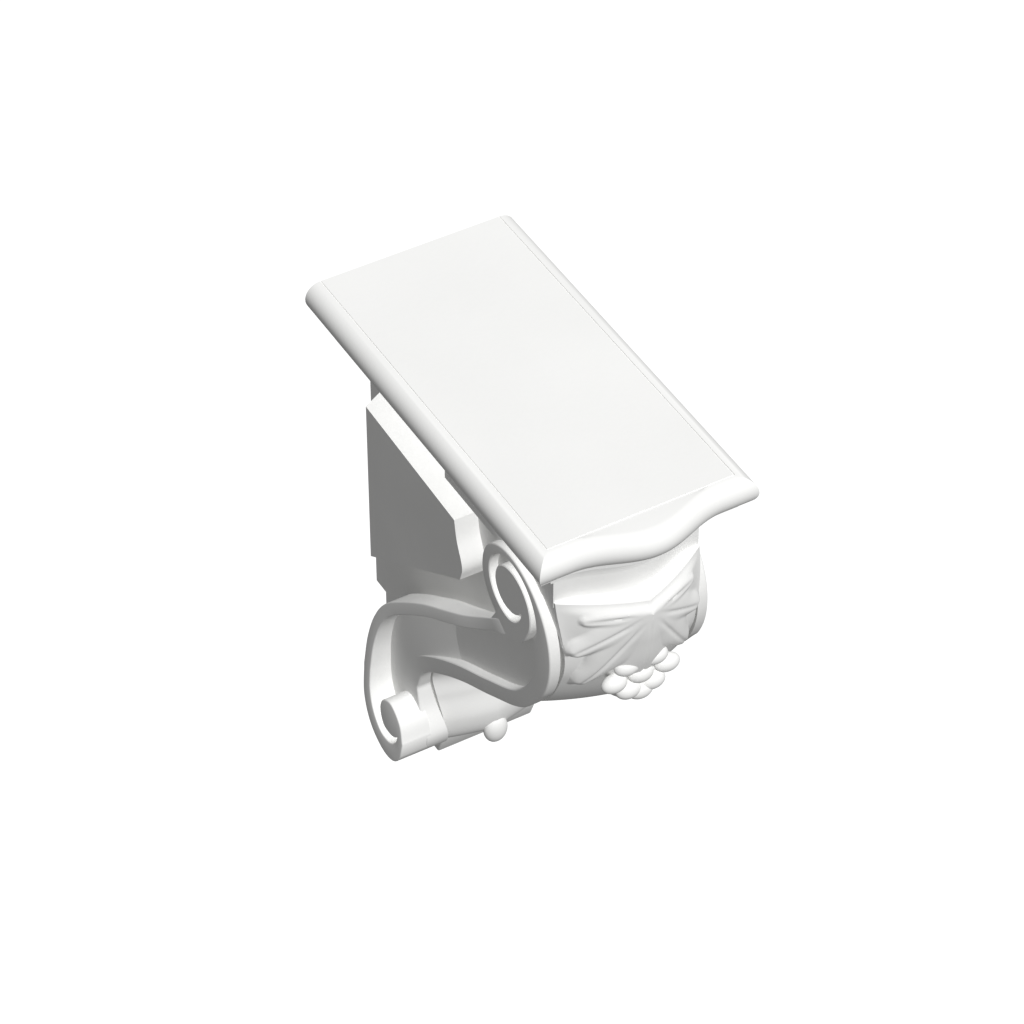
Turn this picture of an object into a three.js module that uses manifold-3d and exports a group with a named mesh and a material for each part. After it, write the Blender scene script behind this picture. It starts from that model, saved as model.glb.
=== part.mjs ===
// Scroll corbel: a moulded cap slab resting on an S-scroll console with a vine leaf and grapes.
// Millimetres, +Z up, the wall behind at +Y. Origin on the wall face of the console.
import * as THREE from 'three';
import { mergeVertices } from 'three/addons/utils/BufferGeometryUtils.js';
import Module from 'manifold-3d';

const wasm = await Module();
wasm.setup();

// Heights are drops below the top of the slab, depths are distances forward of the wall.
const originDrop = 120;

// Cap slab
const slabTopHalf = 55.3;
const slabTopDepth = 240;
const slabThickness = 18.4;
const slabNose = 9.2;
const slabBow = 11;
const slabBowHalf = 44;
const bedJoint = 0.3;
const consoleTopDrop = slabThickness + bedJoint;

// Mouldings under the slab
const rearStep = 21.6;
const coveHalfTop = 58.3;
const coveHalfBottom = 45.6;
const coveFrontTop = 240;
const coveFrontBottom = 228;
const coveTopDrop = 23.4;
const coveBottomDrop = 38.4;
const fasciaHalf = 43.4;
const fasciaFront = 227;
const fasciaBottomDrop = 57;
const frontBow = 11;

// Body behind the scroll
const webHalf = 34;
const webStep = 4;
const stripTopHalf = 41.6;
const stripBottomHalf = 32.4;
const coreBottomDrop = 262;
const tongueHalf = 27;
const tongueBottomDrop = 236;
const tongueBite = 6;

// Scroll cheeks, seen from the side
const cheekFace = 48;
const volute = { forward: 189.6, drop: 76.8, radius: 28.4, front: 57.4 };
const voluteGroove = { start: -18, sweep: 372, inner: 12.6, outer: 26.4, half: 3.6, depth: 6 };
const rollEye = { forward: 80, drop: 261.5 };
const rollGroove = { start: -20, sweep: 205, inner: 10.4, outer: 17.6, half: 3.8 };
const ribbonWidth = 7.6;
const ribbonRise = 0.093;
const ribbonFlushDrop = 101;
const ribbonOutermost = 66;
const ribbonSpare = 6;
const hollowBorder = 9.8;
const hollowDepth = 10.8;
const hollowClear = 0.6;
const hollowRunOut = 0.22;

// Front panel between the cheeks
const panelHalf = 39.6;
const seamWidth = 2;
const seamDepth = 4.5;
const pinchMost = 8.6;
const pinchStart = 215;
const pinchEnd = 290;
const heartInset = 1;
const ledgeDrop = 53.3;
const panelRoot = 9;
const panelShoulder = 3.6;
const shoulderEnd = 98;
const panelSteps = 240;
const leafRows = 88;
const leafRowStep = 2;
const plainRowStep = 8;
const panelColumns = 30;

// Fillet at the foot of the panel
const fillet = { half: 31, front: 86, depth: 30, drop: 306, height: 20, lean: 8 };
const bud = { width: 15, depth: 11, height: 20, forward: 90.5, drop: 291 };

// Raised blocks on the sides
const block = { face: 48, root: 29, rear: 34.6, topDrop: 66, footDrop: 178, flare: 10 };

// Vine leaf and grapes
const leafRise = 4.4;
const veinDepth = 0.9;
const veinWidth = 1.6;
const leafCentre = 6;
const leafLobes = [
  { angle: 0, length: 98, half: 18 },
  { angle: 31, length: 69, half: 13.5 },
  { angle: 55, length: 51, half: 13.5 },
  { angle: 84, length: 37, half: 10 },
];
const leafWeb = { radius: 44, rise: 3.1 };
const grape = { length: 15, width: 10.6, depth: 10, forward: 243.5 };
const grapeRows = [
  { drop: 102.4, places: [-8.5, 8.5] },
  { drop: 111.5, places: [-16, 0, 16] },
  { drop: 120, places: [-7.3, 7.3] },
  { drop: 123.5, places: [0] },
];

const plaster = new THREE.MeshStandardMaterial({ color: 0xe9e8e4, roughness: 0.78, metalness: 0 });

// A closed solid from a geometry with its seams welded
function solid(geometry) {
  const bare = geometry.clone();
  bare.deleteAttribute('normal');
  bare.deleteAttribute('uv');
  const welded = mergeVertices(bare, 1e-4);
  return new wasm.Manifold(new wasm.Mesh({
    numProp: 3,
    vertProperties: new Float32Array(welded.attributes.position.array),
    triVerts: new Uint32Array(welded.index.array),
  }));
}

function meshOf(name, body, material) {
  const { vertProperties, triVerts } = body.getMesh();
  const geometry = new THREE.BufferGeometry();
  geometry.setAttribute('position', new THREE.BufferAttribute(new Float32Array(vertProperties), 3));
  geometry.setIndex(new THREE.BufferAttribute(new Uint32Array(triVerts), 1));
  geometry.computeVertexNormals();
  const mesh = new THREE.Mesh(geometry, material);
  mesh.name = name;
  return mesh;
}

// The same shape on the other side of the middle plane
function mirrored(geometry) {
  const copy = geometry.clone();
  if (copy.index === null) copy.setIndex([...Array(copy.attributes.position.count).keys()]);
  copy.scale(-1, 1, 1);
  const index = copy.index.array;
  for (let i = 0; i < index.length; i += 3) [index[i], index[i + 1]] = [index[i + 1], index[i]];
  return copy;
}

function bothSides(geometry) {
  return solid(geometry).add(solid(mirrored(geometry)));
}

// Side view points and curves: forward of the wall, drop below the top
function side(forward, drop) {
  return new THREE.Vector2(forward, -drop);
}

function curve(pairs, steps) {
  return new THREE.SplineCurve(pairs.map(([forward, drop]) => side(forward, drop))).getSpacedPoints(steps);
}

// Extrudes a side outline across, from one distance off the middle plane to another
function across(points, from, to, hole) {
  const outline = points.map((p) => p.clone());
  if (THREE.ShapeUtils.area(outline) < 0) outline.reverse();
  const shape = new THREE.Shape(outline);
  if (hole) shape.holes.push(new THREE.Path(hole));
  const geometry = new THREE.ExtrudeGeometry(shape, { depth: to - from, bevelEnabled: false });
  const turn = new THREE.Matrix4().makeBasis(
    new THREE.Vector3(0, -1, 0),
    new THREE.Vector3(0, 0, 1),
    new THREE.Vector3(-1, 0, 0),
  );
  return geometry.applyMatrix4(turn).translate(to, 0, 0);
}

// Skins a row of equal rings into a closed body with its faces turned outwards
function loft(rings) {
  const positions = [];
  const faces = [];
  const count = rings[0].length;
  rings.forEach((ring) => ring.forEach((p) => positions.push(p.x, p.y, p.z)));
  for (let row = 0; row + 1 < rings.length; row++) {
    for (let i = 0; i < count; i++) {
      const a = row * count + i;
      const b = row * count + ((i + 1) % count);
      faces.push(a, b, b + count, a, b + count, a + count);
    }
  }
  [0, rings.length - 1].forEach((row) => {
    const middle = rings[row].reduce((sum, p) => sum.add(p), new THREE.Vector3()).divideScalar(count);
    const hub = positions.length / 3;
    positions.push(middle.x, middle.y, middle.z);
    for (let i = 0; i < count; i++) {
      const a = row * count + i;
      const b = row * count + ((i + 1) % count);
      faces.push(...(row === 0 ? [hub, b, a] : [hub, a, b]));
    }
  });
  const corner = (i) => new THREE.Vector3().fromArray(positions, 3 * faces[i]);
  let volume = 0;
  for (let i = 0; i < faces.length; i += 3) volume += corner(i).dot(corner(i + 1).cross(corner(i + 2)));
  if (volume < 0) faces.reverse();
  const geometry = new THREE.BufferGeometry();
  geometry.setAttribute('position', new THREE.Float32BufferAttribute(positions, 3));
  geometry.setIndex(faces);
  return geometry;
}

// A curve moved sideways by a distance, to the right of its direction
function offset(points, distance) {
  return points.map((p, i) => {
    const before = points[Math.max(i - 1, 0)];
    const after = points[Math.min(i + 1, points.length - 1)];
    const along = after.clone().sub(before).normalize();
    const gap = typeof distance === 'function' ? distance(i / (points.length - 1)) : distance;
    return new THREE.Vector2(p.x + along.y * gap, p.y - along.x * gap);
  });
}

// A swelling of the front, full in the middle and nothing at the given half width
function bow(x, half) {
  return Math.abs(x) < half ? Math.cos((Math.PI * x) / (2 * half)) ** 2 : 0;
}

// Plan outline with a square back and a bowed front, at one height
function planRing(half, back, front, swell, swellHalf, drop) {
  const steps = 14;
  const ring = [new THREE.Vector3(half, -back, -drop)];
  ring.push(new THREE.Vector3(-half, -back, -drop));
  for (let i = 0; i <= steps; i++) {
    const x = -half + (2 * half * i) / steps;
    ring.push(new THREE.Vector3(x, -front - swell * bow(x, swellHalf), -drop));
  }
  return ring;
}

// Slab: flat top, half-round nose on three sides, bowed at the front
function capSlab() {
  const rings = [];
  const noseSteps = 8;
  for (let i = 0; i <= noseSteps; i++) {
    const angle = Math.PI * (i / noseSteps - 0.5);
    const out = Math.cos(angle);
    const drop = slabThickness / 2 - (slabThickness / 2) * Math.sin(angle);
    rings.push(planRing(
      slabTopHalf + slabNose * out,
      0,
      slabTopDepth + slabNose * out,
      slabBow,
      slabBowHalf,
      drop,
    ));
  }
  return solid(loft(rings));
}

// Cove under the slab and the plain bowed fascia below it
function bedMould() {
  const rings = [];
  const coveSteps = 6;
  for (let i = 0; i <= coveSteps; i++) {
    const angle = (Math.PI / 2) * (i / coveSteps);
    const flare = 1 - Math.cos(angle);
    rings.push(planRing(
      coveHalfBottom + (coveHalfTop - coveHalfBottom) * flare,
      rearStep,
      coveFrontBottom + (coveFrontTop - coveFrontBottom) * flare,
      frontBow,
      coveHalfBottom,
      coveBottomDrop - (coveBottomDrop - coveTopDrop) * Math.sin(angle),
    ));
  }
  rings.push(planRing(coveHalfTop, rearStep, coveFrontTop, frontBow, coveHalfBottom, consoleTopDrop));
  const fascia = [fasciaBottomDrop, coveBottomDrop - 1].map(
    (drop) => planRing(fasciaHalf, coveFrontBottom / 2, fasciaFront, frontBow, fasciaHalf, drop),
  );
  return solid(loft(rings)).add(solid(loft(fascia)));
}

// Outer edge of the upper volute, from its back round the top to its front
function voluteEdge() {
  const points = [];
  const steps = 26;
  const from = 240;
  const to = -53;
  const tightest = 100;
  for (let i = 0; i <= steps; i++) {
    const angle = from + ((to - from) * i) / steps;
    const opened = Math.max(0, (tightest - angle) / (tightest - to));
    const radius = volute.radius + (volute.front - volute.radius) * opened ** 2.3;
    const turn = THREE.MathUtils.degToRad(angle);
    points.push(side(volute.forward + radius * Math.cos(turn), volute.drop - radius * Math.sin(turn)));
  }
  return points;
}

// Under edge of the S, from the volute's front down to the neck over the roll
const underEdge = curve([
  [224.2, 122.6], [203, 149.3], [170.6, 169.4], [138.7, 186.7], [113, 203.5], [94, 219.5], [86, 238],
], 22);

// The roll at the foot, from the neck round its front, bottom and back
const rollEdge = curve([
  [86, 238], [89, 253], [96.2, 271], [89.5, 286], [76, 289], [60, 281.5], [50, 266], [47.3, 244],
], 24);

// Upper edge of the S, from the back of the roll up to the volute
const upperEdge = curve([
  [47.3, 244], [49, 222.7], [54.7, 202.6], [65, 185.8], [82.8, 169.9], [104.4, 153.8],
  [126.2, 140.4], [148, 126.7], [169.9, 110.6],
], 30);

function scrollOutline() {
  return [...voluteEdge(), ...underEdge.slice(1), ...rollEdge.slice(1), ...upperEdge.slice(1)];
}

// A spiral channel seen from the side, narrowing to a point at its inner end
function spiralChannel(eye, groove) {
  const steps = 30;
  const inner = [];
  const outer = [];
  for (let i = 0; i <= steps; i++) {
    const t = i / steps;
    const angle = THREE.MathUtils.degToRad(groove.start - groove.sweep * t);
    const radius = groove.inner * (groove.outer / groove.inner) ** t;
    const half = groove.half * Math.min(1, 0.25 + 4 * t);
    const reach = (r) => side(eye.forward + r * Math.cos(angle), eye.drop - r * Math.sin(angle));
    inner.push(reach(radius - half));
    outer.push(reach(radius + half));
  }
  return [...inner, ...outer.reverse()];
}

// How far the cheeks close in on the panel below the neck
function pinch(drop) {
  return pinchMost * THREE.MathUtils.smoothstep(drop, pinchStart, pinchEnd);
}

// Room outside the whole scroll, as a side outline
function clearance(margin) {
  return [side(-margin, 0), side(280 + margin, 0), side(280 + margin, 320), side(-margin, 320)];
}

// Scroll cheeks: flat faces, with a ribbon along the upper edge of the S that stands
// further out the lower it runs and rolls up at the foot. The heart between them is set back.
function scroll() {
  const outline = scrollOutline();
  const cheekRoot = panelHalf + seamWidth;
  const cheek = across(outline, cheekRoot, ribbonOutermost);
  const inner = cheek.attributes.position;
  for (let i = 0; i < inner.count; i++) {
    if (inner.getX(i) < cheekFace) inner.setX(i, cheekRoot - pinch(-inner.getZ(i)));
  }
  const cheeks = bothSides(cheek);
  const upperStart = 1 - upperEdge.length / outline.length;
  const inset = offset(outline, (t) => (t < upperStart ? seamDepth : heartInset));
  const heart = solid(across(inset, -cheekRoot - heartInset, cheekRoot + heartInset));
  const eyeTop = curve([[97, 268], [91, 256], [80, 249], [69, 254], [63, 259]], 10);
  const ribbonRoom = [
    ...offset(rollEdge.slice(10), -ribbonSpare),
    ...offset(upperEdge, -ribbonSpare).slice(1),
    side(182, 100),
    ...offset(upperEdge, ribbonWidth).slice(4).reverse(),
    ...eyeTop.reverse(),
  ];
  const pared = bothSides(across(clearance(0), cheekFace, ribbonOutermost + ribbonSpare, ribbonRoom));
  const lean = across(clearance(ribbonSpare), cheekFace, ribbonOutermost + 2 * ribbonSpare);
  const place = lean.attributes.position;
  for (let i = 0; i < place.count; i++) {
    const drop = -place.getZ(i);
    if (place.getX(i) < ribbonOutermost) place.setX(i, cheekFace + ribbonRise * (drop - ribbonFlushDrop));
  }
  const rolled = spiralChannel(rollEye, rollGroove);
  const channel = across(rolled, cheekFace, ribbonOutermost + ribbonSpare);
  return cheeks.subtract(pared).subtract(bothSides(lean)).subtract(bothSides(channel)).add(heart);
}

// Hollow sunk along the S between the ribbon and the border of the under edge
function sHollow() {
  const low = offset(underEdge, hollowBorder).slice(2, -2);
  const high = offset(upperEdge, ribbonWidth + hollowClear).slice(7, 28).reverse();
  const proud = 1;
  const steps = 18;
  const rings = [];
  for (let i = 0; i <= steps; i++) {
    const t = i / steps;
    const under = low[Math.round(t * (low.length - 1))];
    const above = high[Math.round(t * (high.length - 1))];
    const deep = THREE.MathUtils.smoothstep(Math.min(t, 1 - t), 0, hollowRunOut);
    const floor = cheekFace + proud / 2 - (hollowDepth + proud / 2) * deep;
    rings.push([
      new THREE.Vector3(cheekFace + proud, -under.x, under.y),
      new THREE.Vector3(cheekFace + proud, -above.x, above.y),
      new THREE.Vector3(floor, -above.x, above.y),
      new THREE.Vector3(floor, -under.x, under.y),
    ]);
  }
  return bothSides(loft(rings));
}

// Front panel: its line beside the cheeks and its line down the middle
const panelEdgeLine = [
  [228.6, ledgeDrop], [233, 80], [230, 108], [208, 144], [155, 177.5], [107, 206], [87.5, 231],
  [86.5, 252], [88.5, 272], [85, 288], [75, 297],
];
const panelRidgeLine = [
  [250.3, ledgeDrop], [248.6, 80], [241, 110], [217, 150], [161, 187], [112, 213], [92, 237],
  [91, 256], [94, 275], [90, 291], [78, 301],
];

// One lobe of the leaf: its height at a place beside and along its middle rib
function lobe(x, down, angle, length, half) {
  const turn = THREE.MathUtils.degToRad(angle);
  const along = (down * Math.cos(turn) + x * Math.sin(turn)) / length;
  const beside = x * Math.cos(turn) - down * Math.sin(turn);
  if (along <= 0 || along >= 1) return 0;
  const reach = half * Math.sin(Math.PI * along ** 0.62) ** 0.75;
  const inset = Math.abs(beside) / Math.max(reach, 0.01);
  if (inset >= 1) return 0;
  const rib = Math.exp(-((beside / veinWidth) ** 2)) * Math.sin(Math.PI * along) ** 0.5;
  const tip = THREE.MathUtils.smoothstep(1 - along, 0, 0.12);
  return leafRise * (1 - inset ** 2.2) ** 0.6 * tip - veinDepth * rib;
}

// Vine leaf: the same lobes on both sides of its middle rib, joined by a web at the stem
function leafHeight(x, down) {
  const heights = leafLobes.map(
    ({ angle, length, half }) => lobe(Math.abs(x), down - leafCentre, angle, length, half),
  );
  const reach = Math.hypot(x, down - leafCentre) / leafWeb.radius;
  const web = leafWeb.rise * THREE.MathUtils.smoothstep(1 - reach, 0, 0.4);
  return Math.max(web, ...heights) * THREE.MathUtils.smoothstep(down, 0, leafCentre);
}

function panelHalfAt(edge) {
  const shoulder = panelShoulder * (1 - THREE.MathUtils.smoothstep(-edge.y, ledgeDrop, shoulderEnd));
  return panelHalf + shoulder - pinch(-edge.y);
}

function panelPoint(edge, ridge, x, lift) {
  const t = Math.abs(x) / panelHalfAt(edge);
  const swell = 0.65 * (1 - t) + 0.35 * (1 - t * t);
  const out = ridge.clone().sub(edge);
  const normal = out.lengthSq() > 0.01 ? out.clone().normalize() : new THREE.Vector2(1, 0);
  return edge.clone().addScaledVector(out, swell).addScaledVector(normal, lift);
}

function frontPanel() {
  const edgeLine = curve(panelEdgeLine, panelSteps);
  const ridgeLine = curve(panelRidgeLine, panelSteps);
  const rings = [];
  let down = 0;
  edgeLine.forEach((edge, row) => {
    if (row > 0) down += ridgeLine[row].distanceTo(ridgeLine[row - 1]);
    if (row % (row < leafRows ? leafRowStep : plainRowStep) !== 0) return;
    const ring = [];
    const half = panelHalfAt(edge);
    for (let i = 0; i <= panelColumns; i++) {
      const x = half - (2 * half * i) / panelColumns;
      const p = panelPoint(edge, ridgeLine[row], x, leafHeight(x, down));
      ring.push(new THREE.Vector3(x, -p.x, p.y));
    }
    const back = panelPoint(edge, ridgeLine[row], half, -panelRoot);
    ring.push(new THREE.Vector3(-half, -back.x, back.y));
    ring.push(new THREE.Vector3(half, -back.x, back.y));
    rings.push(ring);
  });
  return solid(loft(rings));
}

// Fillet under the foot of the panel with a bud at its middle
function footFillet() {
  const top = fillet.drop - fillet.height;
  const rear = fillet.front - fillet.depth;
  const bar = across([
    side(rear, top),
    side(fillet.front, top),
    side(fillet.front - fillet.lean, fillet.drop),
    side(rear, fillet.drop),
  ], -fillet.half, fillet.half);
  const ball = new THREE.SphereGeometry(0.5, 12, 8);
  ball.scale(bud.width, bud.depth, bud.height);
  ball.translate(0, -bud.forward, -bud.drop);
  return solid(bar).add(solid(ball));
}

// Bunch of grapes hanging on the leaf, in rows that close to a point
function grapes() {
  const berries = grapeRows.flatMap(({ drop, places }) => places.map((x) => {
    const berry = new THREE.SphereGeometry(0.5, 10, 7);
    berry.scale(grape.length, grape.depth, grape.width);
    return solid(berry.translate(x, -grape.forward, -drop));
  }));
  return berries.reduce((bunch, berry) => bunch.add(berry));
}

// Plain body behind the scroll: a web, a back strip that narrows downwards, and a tongue to the wall
function core() {
  const web = across([
    side(rearStep + webStep, consoleTopDrop),
    side(222, consoleTopDrop),
    side(222, 70),
    side(190, 112),
    side(120, 165),
    side(84, 200),
    side(74, coreBottomDrop),
    side(rearStep + webStep, coreBottomDrop - 8),
  ], -webHalf, webHalf);
  const strip = across([
    side(rearStep, consoleTopDrop),
    side(block.rear + webStep, consoleTopDrop),
    side(block.rear + webStep, coreBottomDrop - 4),
    side(rearStep, coreBottomDrop - 16),
  ], -1, 1);
  const place = strip.attributes.position;
  for (let i = 0; i < place.count; i++) {
    const t = (-place.getZ(i) - coveBottomDrop) / (coreBottomDrop - coveBottomDrop);
    place.setX(i, place.getX(i) * THREE.MathUtils.lerp(stripTopHalf, stripBottomHalf, t));
  }
  const reach = rearStep + tongueBite;
  const tongue = new THREE.BoxGeometry(2 * tongueHalf, reach, tongueBottomDrop - consoleTopDrop);
  tongue.translate(0, -reach / 2, -(tongueBottomDrop + consoleTopDrop) / 2);
  return solid(web).add(solid(strip)).add(solid(tongue));
}

// Raised block on the side with a sloped top and a leaning lower edge
function sideBlocks() {
  const front = curve([[132, 71], [134.5, 84], [140, 99], [137.5, 110]], 6);
  const ring = (x, spread) => [
    side(block.rear - spread, block.topDrop),
    ...front,
    side(block.rear - spread, block.footDrop + spread),
  ].map((p) => new THREE.Vector3(x, -p.x, p.y));
  return bothSides(loft([ring(block.face, 0), ring(block.root, block.flare)]));
}

const consoleBody = scroll()
  .add(core())
  .subtract(sHollow())
  .add(bedMould())
  .add(sideBlocks())
  .subtract(bothSides(across(
    spiralChannel(volute, voluteGroove),
    cheekFace - voluteGroove.depth,
    cheekFace + 2,
  )))
  .add(frontPanel())
  .add(footFillet())
  .add(grapes());

const corbel = new THREE.Group();
corbel.add(meshOf('cap_slab', capSlab(), plaster));
corbel.add(meshOf('console', consoleBody, plaster));
corbel.position.z = originDrop;

export default corbel;
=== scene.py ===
"""Scroll corbel in cast plaster: a bowed cap slab on an S-scroll console with a vine leaf and grapes."""

import math

import bmesh
import bpy
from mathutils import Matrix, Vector


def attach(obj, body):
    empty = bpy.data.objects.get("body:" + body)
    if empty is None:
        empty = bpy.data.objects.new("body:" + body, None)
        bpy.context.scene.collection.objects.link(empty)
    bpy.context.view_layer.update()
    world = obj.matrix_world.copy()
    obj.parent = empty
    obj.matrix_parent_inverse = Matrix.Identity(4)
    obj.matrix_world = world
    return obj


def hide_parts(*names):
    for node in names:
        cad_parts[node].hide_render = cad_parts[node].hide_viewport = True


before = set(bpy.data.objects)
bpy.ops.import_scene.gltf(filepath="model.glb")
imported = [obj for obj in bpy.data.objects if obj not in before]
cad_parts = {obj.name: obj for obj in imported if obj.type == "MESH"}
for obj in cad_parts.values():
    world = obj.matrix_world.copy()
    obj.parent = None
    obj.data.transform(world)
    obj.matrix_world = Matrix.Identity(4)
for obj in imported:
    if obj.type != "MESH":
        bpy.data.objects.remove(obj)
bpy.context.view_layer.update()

# Sizes in millimetres, turned into metres where a point is placed.
# Heights are drops below the top of the slab, depths are distances forward of the wall.
MM = 0.001
ORIGIN_DROP = 120
EASE = 1.1

SLAB_TOP_HALF = 55.3
SLAB_TOP_DEPTH = 240
SLAB_THICKNESS = 18.4
SLAB_NOSE = 9.2
SLAB_BOW = 11
SLAB_BOW_HALF = 44
CONSOLE_TOP_DROP = 18.7

REAR_STEP = 21.6
COVE_HALF_TOP = 58.3
COVE_HALF_BOTTOM = 45.6
COVE_FRONT_TOP = 240
COVE_FRONT_BOTTOM = 228
COVE_TOP_DROP = 23.4
COVE_BOTTOM_DROP = 38.4
FASCIA_HALF = 43.4
FASCIA_FRONT = 227
FASCIA_BOTTOM_DROP = 57
FRONT_BOW = 11

WEB_HALF = 34
WEB_REAR = 25.6
WEB_FRONT = 222
STRIP_FRONT = 62
STRIP_TOP_HALF = 41.6
STRIP_BOTTOM_HALF = 32.4
CORE_BOTTOM_DROP = 262
WEB_HEEL = 8
STRIP_TOE = 4
STRIP_HEEL = 16
TONGUE_HALF = 27
TONGUE_FRONT = 27.6
TONGUE_BOTTOM_DROP = 236

CHEEK_FACE = 48
CHEEK_ROOT = 41.6
VOLUTE = {"forward": 189.6, "drop": 76.8, "radius": 28.4, "front": 57.4}
VOLUTE_GROOVE = {"start": -18, "sweep": 372, "inner": 12.6, "outer": 26.4, "half": 3.6, "depth": 6}
RIBBON_WIDTH = 7.6
RIBBON_ROOT = 3
RIBBON_EASE = EASE * 0.7
RIBBON_RISE = 0.093
RIBBON_FLUSH_DROP = 101
RIBBON_END = 186
RIBBON_FADE = 50
HOLLOW_BORDER = 9.8
HOLLOW_DEPTH = 10.8
HOLLOW_CLEAR = 0.6
HOLLOW_RUN_OUT = 0.7
FIELD_TILT = 0.25
HEART_INSET = 4.5
HEART_DEEPER = 9
HEART_RUN = 32

PANEL_HALF = 39.6
PANEL_SHOULDER = 3.6
SHOULDER_END = 98
PINCH_MOST = 8.6
PINCH_START = 215
PINCH_END = 290
LEDGE_DROP = 53.3
PANEL_RETURN = 18
PANEL_RIDGED = 0.65
PANEL_ROWS = 300
PANEL_COLUMNS = 150

FILLET = {"half": 31, "front": 86, "depth": 30, "drop": 306, "height": 20, "lean": 8}
BUD = {"width": 15, "depth": 11, "height": 20, "forward": 90.5, "drop": 291}
BLOCK = {"face": 48, "root": 29, "rear": 34.6, "top_drop": 66, "foot_drop": 178, "flare": 10}

LEAF_RISE = 4.4
VEIN_DEPTH = 0.9
VEIN_WIDTH = 1
LEAF_CENTRE = 6
LEAF_LOBES = ((0, 98, 18), (31, 69, 13.5), (55, 51, 13.5), (84, 37, 10))
LEAF_WEB = {"radius": 44, "rise": 3.1, "fade": 0.4}
LEAF = {"tooth": 0.1, "waves": 5, "belly": 0.62, "fullness": 0.75, "crown": 2.2, "edge": 0.6, "tip": 0.12}
GRAPE = {"length": 15, "width": 10.6, "depth": 10, "forward": 243.5}
GRAPE_ROWS = ((102.4, (-8.5, 8.5)), (111.5, (-16, 0, 16)), (120, (-7.3, 7.3)), (123.5, (0,)))

SLAB_TONES = ((0.8, 0.8, 0.79, 1), (0.84, 0.84, 0.83, 1))
CARVED_TONES = ((0.78, 0.78, 0.77, 1), (0.83, 0.83, 0.82, 1))
WHITE = (1, 1, 1, 1)
KEY_STRENGTH = 3.45
KEY_SPREAD = 20
KEY_FROM = (0, -0.56, 0.83)
FILL_STRENGTH = 0.205
CAMERA_LENS = 140.6
CAMERA_PLACE = (-0.78624, -1.47528, 1.48992)
CAMERA_TILT = 46.88
CAMERA_TURN = -29.93


def smoothstep(value, low, high):
    t = min(1, max(0, (value - low) / (high - low)))
    return t * t * (3 - 2 * t)


def side(forward, drop):
    """A point seen from the side: forward of the wall, and up."""
    return Vector((forward, -drop))


def place(x, point):
    """A side point set at a distance off the middle plane, in metres."""
    return Vector((x, -point.x, point.y + ORIGIN_DROP)) * MM


def evenly(points, steps):
    """The same side line cut into equal steps."""
    runs = [0]
    for a, b in zip(points, points[1:]):
        runs.append(runs[-1] + (b - a).length)
    even = []
    j = 0
    for i in range(steps + 1):
        target = runs[-1] * i / steps
        while j + 2 < len(points) and runs[j + 1] < target:
            j += 1
        part = (target - runs[j]) / max(runs[j + 1] - runs[j], 1e-9)
        even.append(points[j].lerp(points[j + 1], min(1, part)))
    return even


def curve(pairs, steps):
    """A smooth curve through side points, cut into equal steps."""
    knots = [side(*pair) for pair in pairs]
    fine = []
    per_span = 24
    for i in range(len(knots) - 1):
        before = knots[max(i - 1, 0)] if i else knots[0] * 2 - knots[1]
        after = knots[i + 2] if i + 2 < len(knots) else knots[i + 1] * 2 - knots[i]
        for k in range(per_span):
            t = k / per_span
            start_pull = (knots[i + 1] - before) * 0.5
            end_pull = (after - knots[i]) * 0.5
            gap = knots[i + 1] - knots[i]
            bend = (gap * 3 - start_pull * 2 - end_pull) * t * t
            twist = (start_pull + end_pull - gap * 2) * t * t * t
            fine.append(knots[i] + start_pull * t + bend + twist)
    fine.append(knots[-1])
    return evenly(fine, steps)


def offset(points, distance, closed=False):
    """A side curve moved to the right of its direction, which is inwards on the scroll.
    The distance is a number, or a rule that gives one for each point."""
    moved = []
    last = len(points) - 1
    for i, point in enumerate(points):
        before = points[i - 1] if closed or i > 0 else points[0]
        after = points[(i + 1) % len(points)] if closed or i < last else points[last]
        along = (after - before).normalized()
        gap = distance(point) if callable(distance) else distance
        moved.append(Vector((point.x + along.y * gap, point.y - along.x * gap)))
    return moved


def ring_edges(bm, verts, closed=True):
    pairs = zip(verts, verts[1:] + verts[:1]) if closed else zip(verts, verts[1:])
    return [bm.edges.get(pair) or bm.edges.new(pair) for pair in pairs]


def skin(bm, rings, closed=True):
    """Draws the first ring, then extrudes it from ring to ring. Gives the first and last rings' edges."""
    verts = [bm.verts.new(point) for point in rings[0]]
    first = edges = ring_edges(bm, verts, closed)
    for ring in rings[1:]:
        grown = bmesh.ops.extrude_edge_only(bm, edges=edges)["geom"]
        fresh = {item for item in grown if isinstance(item, bmesh.types.BMVert)}
        tops = []
        for vert in verts:
            ends = [edge.other_vert(vert) for edge in vert.link_edges]
            tops.append(next(end for end in ends if end in fresh))
        for vert, point in zip(tops, ring):
            vert.co = point
        verts = tops
        edges = ring_edges(bm, verts, closed)
    return first, edges


def cap(bm, *loops):
    """Fills the flat area that one or more edge loops bound."""
    edges = [edge for loop in loops for edge in loop]
    bmesh.ops.triangle_fill(bm, use_beauty=True, use_dissolve=False, edges=edges)


def open_edges(bm):
    return [edge for edge in bm.edges if edge.is_boundary]


def both_sides(bm):
    bmesh.ops.mirror(bm, geom=bm.verts[:] + bm.edges[:] + bm.faces[:], axis="X", merge_dist=1e-7)


def make_piece(name, bm, material, sharp=38):
    """Turns a bmesh into a finished piece that rides with the corbel."""
    bmesh.ops.remove_doubles(bm, verts=bm.verts, dist=1e-6)
    bmesh.ops.recalc_face_normals(bm, faces=bm.faces)
    mesh = bpy.data.meshes.new(name)
    bm.to_mesh(mesh)
    bm.free()
    mesh.shade_smooth()
    mesh.set_sharp_from_angle(angle=math.radians(sharp))
    mesh.materials.append(material)
    piece = bpy.data.objects.new(name, mesh)
    bpy.context.scene.collection.objects.link(piece)
    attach(piece, "root")
    return piece


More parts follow.
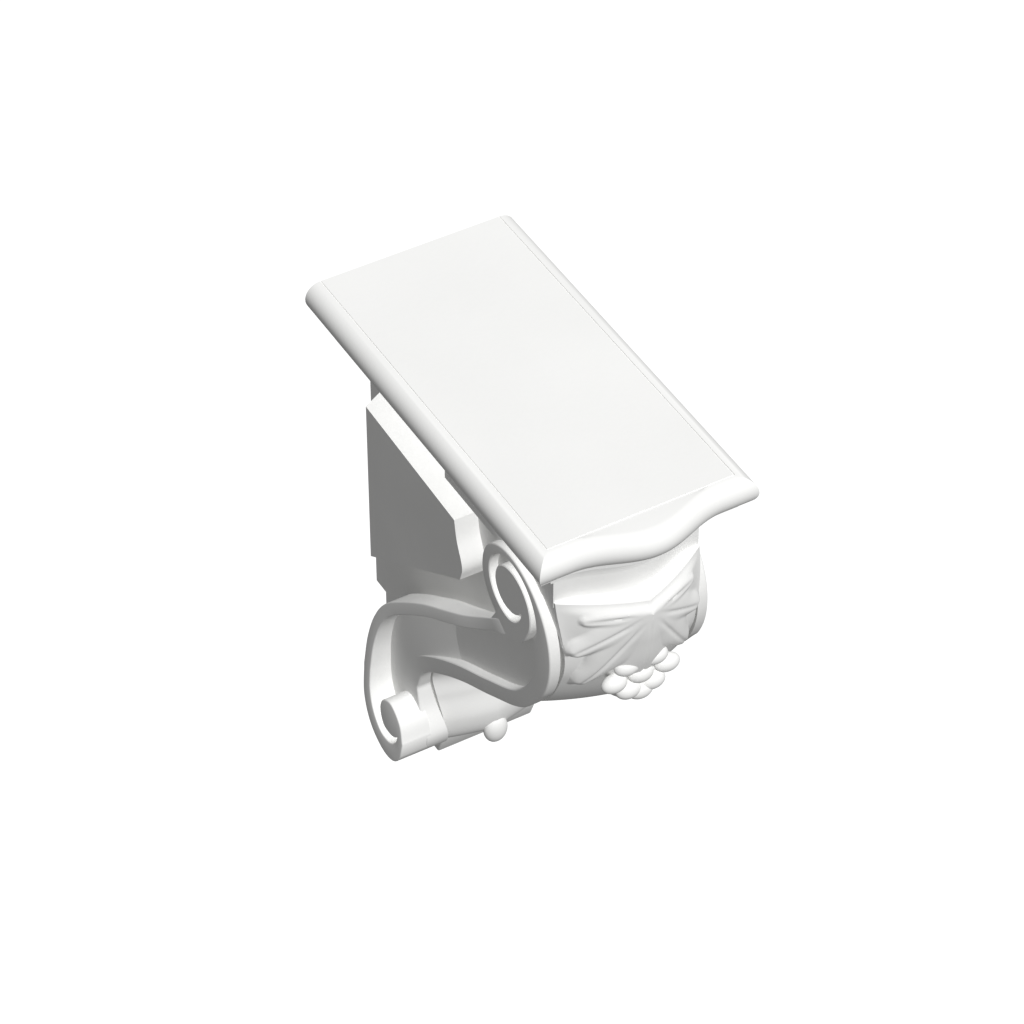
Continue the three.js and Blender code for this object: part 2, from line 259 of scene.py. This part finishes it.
def quarter_round(ease, steps=4):
    """Steps of an eased edge: how far below the face, and how far in from the edge."""
    for i in range(steps + 1):
        angle = math.pi / 2 * i / steps
        yield ease * (1 - math.sin(angle)), ease * (1 - math.cos(angle))


def bow(x, half):
    return math.cos(math.pi * x / (2 * half)) ** 2 if abs(x) < half else 0


def plan_ring(half, back, front, swell, swell_half, drop, steps=48):
    """Plan outline with a square back and a bowed front, at one height."""
    points = [place(half, side(back, drop)), place(-half, side(back, drop))]
    for i in range(steps + 1):
        x = -half + 2 * half * i / steps
        points.append(place(x, side(front + swell * bow(x, swell_half), drop)))
    return points


def cap_slab(material):
    """Flat top panel, a fine sunk line round it and a half-round nose on three sides."""
    bm = bmesh.new()
    nose_steps = 20
    line_width = 0.7
    line_depth = 0.5
    rings = []
    for i in range(nose_steps + 1):
        angle = math.pi * (i / nose_steps - 0.5)
        out = SLAB_NOSE * math.cos(angle)
        drop = SLAB_THICKNESS / 2 * (1 - math.sin(angle))
        half = SLAB_TOP_HALF + out
        rings.append(plan_ring(half, 0, SLAB_TOP_DEPTH + out, SLAB_BOW, SLAB_BOW_HALF, drop))
    for inset, drop in ((0, line_depth), (line_width, line_depth), (line_width, 0)):
        half = SLAB_TOP_HALF - inset
        rings.append(plan_ring(half, 0, SLAB_TOP_DEPTH - inset, 0, SLAB_BOW_HALF, drop))
    under, top = skin(bm, rings)
    cap(bm, under)
    cap(bm, top)
    slab = make_piece("moulded_cap_slab", bm, material, sharp=30)
    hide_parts("cap_slab")


def bed_mould(material):
    """Cove under the slab and the plain bowed fascia below it."""
    bm = bmesh.new()
    rings = []
    cove_steps = 16
    for i in range(cove_steps + 1):
        angle = math.pi / 2 * i / cove_steps
        flare = 1 - math.cos(angle)
        half = COVE_HALF_BOTTOM + (COVE_HALF_TOP - COVE_HALF_BOTTOM) * flare
        front = COVE_FRONT_BOTTOM + (COVE_FRONT_TOP - COVE_FRONT_BOTTOM) * flare
        drop = COVE_BOTTOM_DROP - (COVE_BOTTOM_DROP - COVE_TOP_DROP) * math.sin(angle)
        rings.append(plan_ring(half, REAR_STEP, front, FRONT_BOW, COVE_HALF_BOTTOM, drop))
    rings.append(
        plan_ring(COVE_HALF_TOP, REAR_STEP, COVE_FRONT_TOP, FRONT_BOW, COVE_HALF_BOTTOM, CONSOLE_TOP_DROP)
    )
    for loop in skin(bm, rings):
        cap(bm, loop)
    fascia = []
    for drop in (FASCIA_BOTTOM_DROP, COVE_BOTTOM_DROP - 1):
        fascia.append(
            plan_ring(FASCIA_HALF, COVE_FRONT_BOTTOM / 2, FASCIA_FRONT, FRONT_BOW, FASCIA_HALF, drop)
        )
    for loop in skin(bm, fascia):
        cap(bm, loop)
    make_piece("cove_and_fascia", bm, material)


def volute_edge(steps=70):
    """Outer edge of the upper volute, from its back round the top to its front."""
    start = 240
    end = -53
    tightest = 100
    opening = 2.3
    points = []
    for i in range(steps + 1):
        angle = start + (end - start) * i / steps
        opened = max(0, (tightest - angle) / (tightest - end))
        radius = VOLUTE["radius"] + (VOLUTE["front"] - VOLUTE["radius"]) * opened**opening
        turn = math.radians(angle)
        forward = VOLUTE["forward"] + radius * math.cos(turn)
        points.append(side(forward, VOLUTE["drop"] - radius * math.sin(turn)))
    return points


UNDER_EDGE = curve(
    [(224.2, 122.6), (203, 149.3), (170.6, 169.4), (138.7, 186.7), (113, 203.5), (94, 219.5), (86, 238)],
    66,
)
ROLL_EDGE = curve(
    [(86, 238), (89, 253), (96.2, 271), (89.5, 286), (76, 289), (60, 281.5), (50, 266), (47.3, 244)],
    72,
)
UPPER_EDGE = curve(
    [
        (47.3, 244), (49, 222.7), (54.7, 202.6), (65, 185.8), (82.8, 169.9), (104.4, 153.8),
        (126.2, 140.4), (148, 126.7), (169.9, 110.6),
    ],
    90,
)
ROLL_GROOVE_OUTER = curve(
    [(54.9, 242), (56.2, 257), (61.5, 269), (71, 277), (81, 277.5), (87.5, 273), (89.5, 267)],
    40,
)
EYE_EDGE = curve(
    [
        (89.5, 267), (86, 270), (80, 271.3), (73, 269.5), (68.6, 261), (71, 253.5),
        (80, 249.5), (91, 256), (96, 268),
    ],
    60,
)
SCROLL_OUTLINE = volute_edge() + UNDER_EDGE[1:] + ROLL_EDGE[1:] + UPPER_EDGE[1:]


def pinch(drop):
    return PINCH_MOST * smoothstep(drop, PINCH_START, PINCH_END)


def lean(point):
    """Distance off the middle plane of the ribbon's leaning face."""
    fade = smoothstep(RIBBON_END - point.x, 0, RIBBON_FADE)
    return CHEEK_FACE + RIBBON_RISE * (-point.y - RIBBON_FLUSH_DROP) * fade


def groove_lines(eye, groove, steps):
    """Inner and outer side lines of a spiral groove that narrows to its inner end."""
    inner = []
    outer = []
    for i in range(steps + 1):
        t = i / steps
        angle = math.radians(groove["start"] - groove["sweep"] * t)
        radius = groove["inner"] * (groove["outer"] / groove["inner"]) ** t
        half = groove["half"] * min(1, 0.25 + 4 * t)
        for line, reach in ((inner, radius - half), (outer, radius + half)):
            forward = eye["forward"] + reach * math.cos(angle)
            line.append(side(forward, eye["drop"] - reach * math.sin(angle)))
    return inner, outer


def trough(bm, one_line, other_line, depths):
    """A sunk channel between two lines of the cheek face. Its rim is left open for the face to join."""
    rings = []
    for a, b, (one_depth, other_depth) in zip(one_line, other_line, depths):
        ease = min(EASE, one_depth, other_depth) * 0.5
        across = (b - a).normalized() * ease
        rings.append(
            [
                place(CHEEK_FACE, a),
                place(CHEEK_FACE - ease, a + across),
                place(CHEEK_FACE - one_depth, a + across),
                place(CHEEK_FACE - other_depth, b - across),
                place(CHEEK_FACE - ease, b - across),
                place(CHEEK_FACE, b),
            ]
        )
    skin(bm, rings, closed=False)


def sunk_field():
    """Lines and depths of the sunk field: a spiral turn round the volute's eye, opening into the S."""
    turn_steps = 110
    field_steps = 70
    inner, outer = groove_lines(VOLUTE, VOLUTE_GROOVE, turn_steps)
    low = curve([(outer[-1].x, -outer[-1].y), (218, 104), (214.5, 117.5)], 12)
    low += offset(UNDER_EDGE, HOLLOW_BORDER)[4:-6]
    ribbon = offset(UPPER_EDGE, RIBBON_WIDTH + HOLLOW_CLEAR)[20:]
    ribbon.reverse()
    high = curve([(inner[-1].x, -inner[-1].y), (204, 99), (195, 106), (184, 111.5)], 16) + ribbon
    depths = [(0, 0)]
    for i in range(1, turn_steps + 1):
        deeper = smoothstep(i / turn_steps, 0.7, 1)
        depth = VOLUTE_GROOVE["depth"] + (HOLLOW_DEPTH - VOLUTE_GROOVE["depth"]) * deeper
        depths.append((depth * (1 - FIELD_TILT * deeper), depth * (1 + FIELD_TILT * deeper)))
    for i in range(1, field_steps + 1):
        depth = HOLLOW_DEPTH * smoothstep(1 - i / field_steps, 0, HOLLOW_RUN_OUT)
        depths.append((depth * (1 - FIELD_TILT), depth * (1 + FIELD_TILT)))
    inner += evenly(high, field_steps)[1:]
    outer += evenly(low, field_steps)[1:]
    return inner, outer, depths


def scroll_cheeks(material):
    """Cheek plates with eased edges and a sunk field that spirals round the volute and runs down the S."""
    bm = bmesh.new()
    trough(bm, *sunk_field())
    bmesh.ops.remove_doubles(bm, verts=bm.verts, dist=1e-6)
    rims = open_edges(bm)
    buried = offset(SCROLL_OUTLINE, lambda p: heart_inset(p) + 1, True)
    rings = [[place(CHEEK_ROOT - 2 * PINCH_MOST, p) for p in buried]]
    rings.append([place(CHEEK_ROOT - pinch(-p.y), p) for p in buried])
    rings.append([place(CHEEK_ROOT - pinch(-p.y), p) for p in SCROLL_OUTLINE])
    for sunk, inset in quarter_round(EASE):
        rings.append([place(CHEEK_FACE - sunk, p) for p in offset(SCROLL_OUTLINE, inset, True)])
    root, rim = skin(bm, rings)
    cap(bm, rim, rims)
    cap(bm, root)
    both_sides(bm)
    make_piece("scroll_cheeks", bm, material)


def scroll_ribbons(material):
    """The ribbon on the upper edge of the S, standing further out the lower it runs, and its roll."""
    bm = bmesh.new()
    inside = offset(UPPER_EDGE, RIBBON_WIDTH)[3:]
    inside.reverse()
    flush_end = [side(179, 103), side(187, 109)]
    outline = ROLL_EDGE[24:] + UPPER_EDGE[1:] + flush_end + inside + ROLL_GROOVE_OUTER[1:] + EYE_EDGE[1:]
    foot = CHEEK_FACE - RIBBON_ROOT
    rings = [[place(foot, p) for p in outline]]
    for sunk, inset in quarter_round(RIBBON_EASE):
        rings.append([place(lean(p) - sunk, p) for p in offset(outline, inset, True)])
    root, rim = skin(bm, rings)
    cap(bm, rim)
    cap(bm, root)
    both_sides(bm)
    make_piece("scroll_ribbons_and_rolls", bm, material)


def heart_inset(point):
    """How far the heart lies inside the scroll's outline: deeper at the roll, behind the panel."""
    return HEART_INSET + HEART_DEEPER * smoothstep(-point.y, PINCH_START, PINCH_START + HEART_RUN)


def scroll_heart(material):
    """The body between the cheeks, set back so that a seam shows beside the panel."""
    bm = bmesh.new()
    inset = offset(SCROLL_OUTLINE, heart_inset, True)
    rings = [[place(x, p) for p in inset] for x in (-CHEEK_ROOT - 1, CHEEK_ROOT + 1)]
    for loop in skin(bm, rings):
        cap(bm, loop)
    make_piece("scroll_heart", bm, material)


PANEL_EDGE = curve(
    [
        (228.6, LEDGE_DROP), (233, 80), (230, 108), (208, 144), (155, 177.5), (107, 206), (87.5, 231),
        (86.5, 252), (88.5, 272), (85, 288), (75, 297),
    ],
    PANEL_ROWS,
)
PANEL_RIDGE = curve(
    [
        (250.3, LEDGE_DROP), (248.6, 80), (241, 110), (217, 150), (161, 187), (112, 213), (92, 237),
        (91, 256), (94, 275), (90, 291), (78, 301),
    ],
    PANEL_ROWS,
)


def panel_half(edge):
    shoulder = PANEL_SHOULDER * (1 - smoothstep(-edge.y, LEDGE_DROP, SHOULDER_END))
    return PANEL_HALF + shoulder - pinch(-edge.y)


def panel_point(row, x, lift):
    """A point of the panel's front, raised by a carved height."""
    edge = PANEL_EDGE[row]
    out = PANEL_RIDGE[row] - edge
    t = abs(x) / panel_half(edge)
    swell = PANEL_RIDGED * (1 - t) + (1 - PANEL_RIDGED) * (1 - t * t)
    return edge + out * swell + out.normalized() * lift


def lobe(x, down, angle, length, half):
    """Height of one lobe of the leaf, with a toothed edge and a sunk rib."""
    turn = math.radians(angle)
    along = (down * math.cos(turn) + x * math.sin(turn)) / length
    beside = x * math.cos(turn) - down * math.sin(turn)
    if along <= 0 or along >= 1:
        return 0
    teeth = 1 + LEAF["tooth"] * math.sin(LEAF["waves"] * math.pi * along)
    reach = half * math.sin(math.pi * along ** LEAF["belly"]) ** LEAF["fullness"] * teeth
    inset = abs(beside) / max(reach, 0.01)
    if inset >= 1:
        return 0
    rib = math.exp(-((beside / VEIN_WIDTH) ** 2)) * math.sin(math.pi * along) ** 0.5
    blade = LEAF_RISE * (1 - inset ** LEAF["crown"]) ** LEAF["edge"] * smoothstep(1 - along, 0, LEAF["tip"])
    return max(0, blade - VEIN_DEPTH * rib)


def leaf_height(x, down):
    heights = [lobe(abs(x), down - LEAF_CENTRE, *sizes) for sizes in LEAF_LOBES]
    reach = math.hypot(x, down - LEAF_CENTRE) / LEAF_WEB["radius"]
    web = LEAF_WEB["rise"] * smoothstep(1 - reach, 0, LEAF_WEB["fade"])
    return max(web, *heights) * smoothstep(down, 0, LEAF_CENTRE)


def front_panel(material):
    """Swelling panel between the cheeks, carved with a vine leaf."""
    runs = [0]
    for a, b in zip(PANEL_RIDGE, PANEL_RIDGE[1:]):
        runs.append(runs[-1] + (b - a).length)
    bm = bmesh.new()
    bmesh.ops.create_grid(bm, x_segments=PANEL_COLUMNS, y_segments=PANEL_ROWS, size=1)
    rim = open_edges(bm)
    spots = {}
    for vert in bm.verts:
        row = round((1 - vert.co.y) / 2 * PANEL_ROWS)
        x = vert.co.x * panel_half(PANEL_EDGE[row])
        spots[vert] = (row, x)
    for vert, (row, x) in spots.items():
        vert.co = place(x, panel_point(row, x, leaf_height(x, runs[row])))
    grown = bmesh.ops.extrude_edge_only(bm, edges=rim)["geom"]
    fresh = {item for item in grown if isinstance(item, bmesh.types.BMVert)}
    chains = ([], [])
    for vert, (row, x) in spots.items():
        for edge in vert.link_edges:
            end = edge.other_vert(vert)
            if end in fresh:
                end.co = place(x, panel_point(row, x, -PANEL_RETURN))
                if abs(x) > panel_half(PANEL_EDGE[row]) - 1e-3:
                    chains[x > 0].append((row, end))
    walls = []
    for chain in chains:
        chain.sort(key=lambda step: step[0])
        walls += ring_edges(bm, [end for row, end in chain], closed=False)
    bmesh.ops.bridge_loops(bm, edges=walls)
    bmesh.ops.holes_fill(bm, edges=open_edges(bm))
    panel = make_piece("carved_front_panel", bm, material, sharp=48)
    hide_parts("console")


def grape_bunch(material):
    """Grapes hanging on the leaf, in rows that close to a point."""
    bm = bmesh.new()
    for drop, row in GRAPE_ROWS:
        for x in row:
            centre = place(x, side(GRAPE["forward"], drop))
            berry = bmesh.ops.create_uvsphere(bm, u_segments=32, v_segments=20, radius=0.5)["verts"]
            size = Vector((GRAPE["length"], GRAPE["depth"], GRAPE["width"])) * MM
            bmesh.ops.scale(bm, vec=size, verts=berry)
            bmesh.ops.translate(bm, vec=centre, verts=berry)
    make_piece("grapes", bm, material)


def foot_fillet(material):
    """Plain fillet under the foot of the panel with a bud at its middle."""
    bm = bmesh.new()
    top = FILLET["drop"] - FILLET["height"]
    rear = FILLET["front"] - FILLET["depth"]
    section = [
        side(rear, top), side(FILLET["front"], top),
        side(FILLET["front"] - FILLET["lean"], FILLET["drop"]), side(rear, FILLET["drop"]),
    ]
    for loop in skin(bm, [[place(x, p) for p in section] for x in (-FILLET["half"], FILLET["half"])]):
        cap(bm, loop)
    bmesh.ops.dissolve_limit(bm, angle_limit=0.01, verts=bm.verts, edges=bm.edges)
    bmesh.ops.bevel(
        bm, geom=bm.edges[:], offset=EASE * MM, affect="EDGES", segments=3, profile=0.5, material=-1
    )
    bud = bmesh.ops.create_uvsphere(bm, u_segments=32, v_segments=20, radius=0.5)["verts"]
    bmesh.ops.scale(bm, vec=Vector((BUD["width"], BUD["depth"], BUD["height"])) * MM, verts=bud)
    bmesh.ops.translate(bm, vec=place(0, side(BUD["forward"], BUD["drop"])), verts=bud)
    make_piece("foot_fillet_and_bud", bm, material)


def closed_block(bm, rings):
    """A closed block skinned from rings."""
    for loop in skin(bm, rings):
        cap(bm, loop)


def side_blocks(material):
    """Raised block on each side with a sloped top and a leaning lower edge."""
    bm = bmesh.new()
    front = curve([(132, 71), (134.5, 84), (140, 99), (137.5, 110)], 18)

    def ring(spread):
        rear = BLOCK["rear"] - spread
        return [side(rear, BLOCK["top_drop"])] + front + [side(rear, BLOCK["foot_drop"] + spread)]

    rings = [[place(BLOCK["root"], p) for p in ring(BLOCK["flare"])]]
    rings.append([place(BLOCK["face"], p) for p in ring(0)])
    closed_block(bm, rings)
    both_sides(bm)
    make_piece("side_blocks", bm, material)


def back_body(material):
    """Web behind the scroll, the back strip that narrows downwards and the tongue to the wall."""
    bm = bmesh.new()
    web = [
        side(WEB_REAR, CONSOLE_TOP_DROP), side(WEB_FRONT, CONSOLE_TOP_DROP), side(WEB_FRONT, 70),
        side(190, 112), side(120, 165), side(84, 200), side(74, CORE_BOTTOM_DROP),
        side(WEB_REAR, CORE_BOTTOM_DROP - WEB_HEEL),
    ]
    closed_block(bm, [[place(x, p) for p in web] for x in (-WEB_HALF, WEB_HALF)])
    strip = [
        side(REAR_STEP, CONSOLE_TOP_DROP), side(STRIP_FRONT, CONSOLE_TOP_DROP),
        side(STRIP_FRONT, CORE_BOTTOM_DROP - STRIP_TOE), side(REAR_STEP, CORE_BOTTOM_DROP - STRIP_HEEL),
    ]

    def strip_half(point):
        if point.x > REAR_STEP:
            return STRIP_BOTTOM_HALF
        t = (-point.y - COVE_BOTTOM_DROP) / (CORE_BOTTOM_DROP - COVE_BOTTOM_DROP)
        return STRIP_TOP_HALF + (STRIP_BOTTOM_HALF - STRIP_TOP_HALF) * t

    closed_block(bm, [[place(sign * strip_half(p), p) for p in strip] for sign in (-1, 1)])
    tongue = [
        side(0, CONSOLE_TOP_DROP), side(TONGUE_FRONT, CONSOLE_TOP_DROP),
        side(TONGUE_FRONT, TONGUE_BOTTOM_DROP), side(0, TONGUE_BOTTOM_DROP),
    ]
    closed_block(bm, [[place(x, p) for p in tongue] for x in (-TONGUE_HALF, TONGUE_HALF)])
    make_piece("back_body", bm, material)


def plaster_grain_group():
    """Cloudy tone, fine speckle and a faint trowelled height for cast plaster."""
    group = bpy.data.node_groups.new("plaster grain", "ShaderNodeTree")
    sockets = (
        ("Cloud Scale", "INPUT", "NodeSocketFloat"),
        ("Grain Scale", "INPUT", "NodeSocketFloat"),
        ("Tone", "OUTPUT", "NodeSocketFloat"),
        ("Height", "OUTPUT", "NodeSocketFloat"),
    )
    for name, way, kind in sockets:
        group.interface.new_socket(name=name, in_out=way, socket_type=kind)
    nodes = group.nodes
    links = group.links
    inputs = nodes.new("NodeGroupInput")
    outputs = nodes.new("NodeGroupOutput")
    spot = nodes.new("ShaderNodeTexCoord")
    cloud = nodes.new("ShaderNodeTexNoise")
    cloud.inputs["Detail"].default_value = 4
    grain = nodes.new("ShaderNodeTexNoise")
    grain.inputs["Detail"].default_value = 6
    grain.inputs["Roughness"].default_value = 0.65
    mixed = nodes.new("ShaderNodeMath")
    mixed.operation = "MULTIPLY_ADD"
    mixed.inputs[1].default_value = 0.25
    links.new(spot.outputs["Object"], cloud.inputs["Vector"])
    links.new(spot.outputs["Object"], grain.inputs["Vector"])
    links.new(inputs.outputs["Cloud Scale"], cloud.inputs["Scale"])
    links.new(inputs.outputs["Grain Scale"], grain.inputs["Scale"])
    links.new(grain.outputs["Fac"], mixed.inputs[0])
    links.new(cloud.outputs["Fac"], mixed.inputs[2])
    links.new(mixed.outputs["Value"], outputs.inputs["Tone"])
    links.new(grain.outputs["Fac"], outputs.inputs["Height"])
    return group


def plaster_material(name, grain, tones, cloud_scale, grain_scale):
    """Matt cast plaster: two close tones of off-white and a fine grain."""
    material = bpy.data.materials.new(name)
    material.use_nodes = True
    nodes = material.node_tree.nodes
    links = material.node_tree.links
    shader = nodes["Principled BSDF"]
    shader.inputs["Specular IOR Level"].default_value = 0.15
    pattern = nodes.new("ShaderNodeGroup")
    pattern.node_tree = grain
    pattern.inputs["Cloud Scale"].default_value = cloud_scale
    pattern.inputs["Grain Scale"].default_value = grain_scale
    tone = nodes.new("ShaderNodeValToRGB")
    tone.color_ramp.elements[0].position = 0.35
    tone.color_ramp.elements[0].color = tones[0]
    tone.color_ramp.elements[1].position = 0.85
    tone.color_ramp.elements[1].color = tones[1]
    rough = nodes.new("ShaderNodeMapRange")
    rough.inputs["To Min"].default_value = 0.72
    rough.inputs["To Max"].default_value = 0.88
    bump = nodes.new("ShaderNodeBump")
    bump.inputs["Strength"].default_value = 0.12
    bump.inputs["Distance"].default_value = 0.0004
    links.new(pattern.outputs["Tone"], tone.inputs["Fac"])
    links.new(pattern.outputs["Tone"], rough.inputs["Value"])
    links.new(pattern.outputs["Height"], bump.inputs["Height"])
    links.new(tone.outputs["Color"], shader.inputs["Base Color"])
    links.new(rough.outputs["Result"], shader.inputs["Roughness"])
    links.new(bump.outputs["Normal"], shader.inputs["Normal"])
    return material


def floor_and_light():
    """A pale floor well below the corbel, a front key from above and even soft fill."""
    floor_drop = 0.75
    floor_size = 30
    bm = bmesh.new()
    bmesh.ops.create_grid(bm, x_segments=1, y_segments=1, size=floor_size)
    bmesh.ops.translate(bm, vec=(0, 0, -floor_drop), verts=bm.verts)
    mesh = bpy.data.meshes.new("floor")
    bm.to_mesh(mesh)
    bm.free()
    paper = bpy.data.materials.new("floor paper")
    paper.use_nodes = True
    paper.node_tree.nodes["Principled BSDF"].inputs["Base Color"].default_value = WHITE
    paper.node_tree.nodes["Principled BSDF"].inputs["Roughness"].default_value = 1
    mesh.materials.append(paper)
    floor = bpy.data.objects.new("floor", mesh)
    bpy.context.scene.collection.objects.link(floor)
    floor.visible_diffuse = False
    floor.visible_glossy = False

    key = bpy.data.lights.new("front key", "SUN")
    key.energy = KEY_STRENGTH
    key.angle = math.radians(KEY_SPREAD)
    key.use_shadow = False
    lamp = bpy.data.objects.new("front key", key)
    lamp.rotation_euler = Vector(KEY_FROM).to_track_quat("Z", "Y").to_euler()
    bpy.context.scene.collection.objects.link(lamp)

    world = bpy.data.worlds.new("soft studio")
    world.use_nodes = True
    nodes = world.node_tree.nodes
    links = world.node_tree.links
    fill = nodes["Background"]
    fill.inputs["Color"].default_value = WHITE
    fill.inputs["Strength"].default_value = FILL_STRENGTH
    backdrop = nodes.new("ShaderNodeBackground")
    backdrop.inputs["Color"].default_value = WHITE
    path = nodes.new("ShaderNodeLightPath")
    choice = nodes.new("ShaderNodeMixShader")
    links.new(path.outputs["Is Camera Ray"], choice.inputs["Fac"])
    links.new(fill.outputs["Background"], choice.inputs[1])
    links.new(backdrop.outputs["Background"], choice.inputs[2])
    links.new(choice.outputs["Shader"], nodes["World Output"].inputs["Surface"])
    bpy.context.scene.world = world


def camera():
    eye = bpy.data.cameras.new("camera")
    eye.sensor_width = 36
    eye.lens = CAMERA_LENS
    eye.clip_end = 100
    stand = bpy.data.objects.new("camera", eye)
    stand.location = CAMERA_PLACE
    stand.rotation_euler = (math.radians(CAMERA_TILT), 0, math.radians(CAMERA_TURN))
    bpy.context.scene.collection.objects.link(stand)
    bpy.context.scene.camera = stand


grain = plaster_grain_group()
slab_plaster = plaster_material("slab plaster", grain, SLAB_TONES, 9, 420)
carved_plaster = plaster_material("carved plaster", grain, CARVED_TONES, 16, 520)

cap_slab(slab_plaster)
bed_mould(carved_plaster)
scroll_heart(carved_plaster)
scroll_cheeks(carved_plaster)
scroll_ribbons(carved_plaster)
front_panel(carved_plaster)
grape_bunch(carved_plaster)
foot_fillet(carved_plaster)
side_blocks(carved_plaster)
back_body(carved_plaster)
floor_and_light()
camera()
bpy.context.scene.view_settings.view_transform = "Standard"
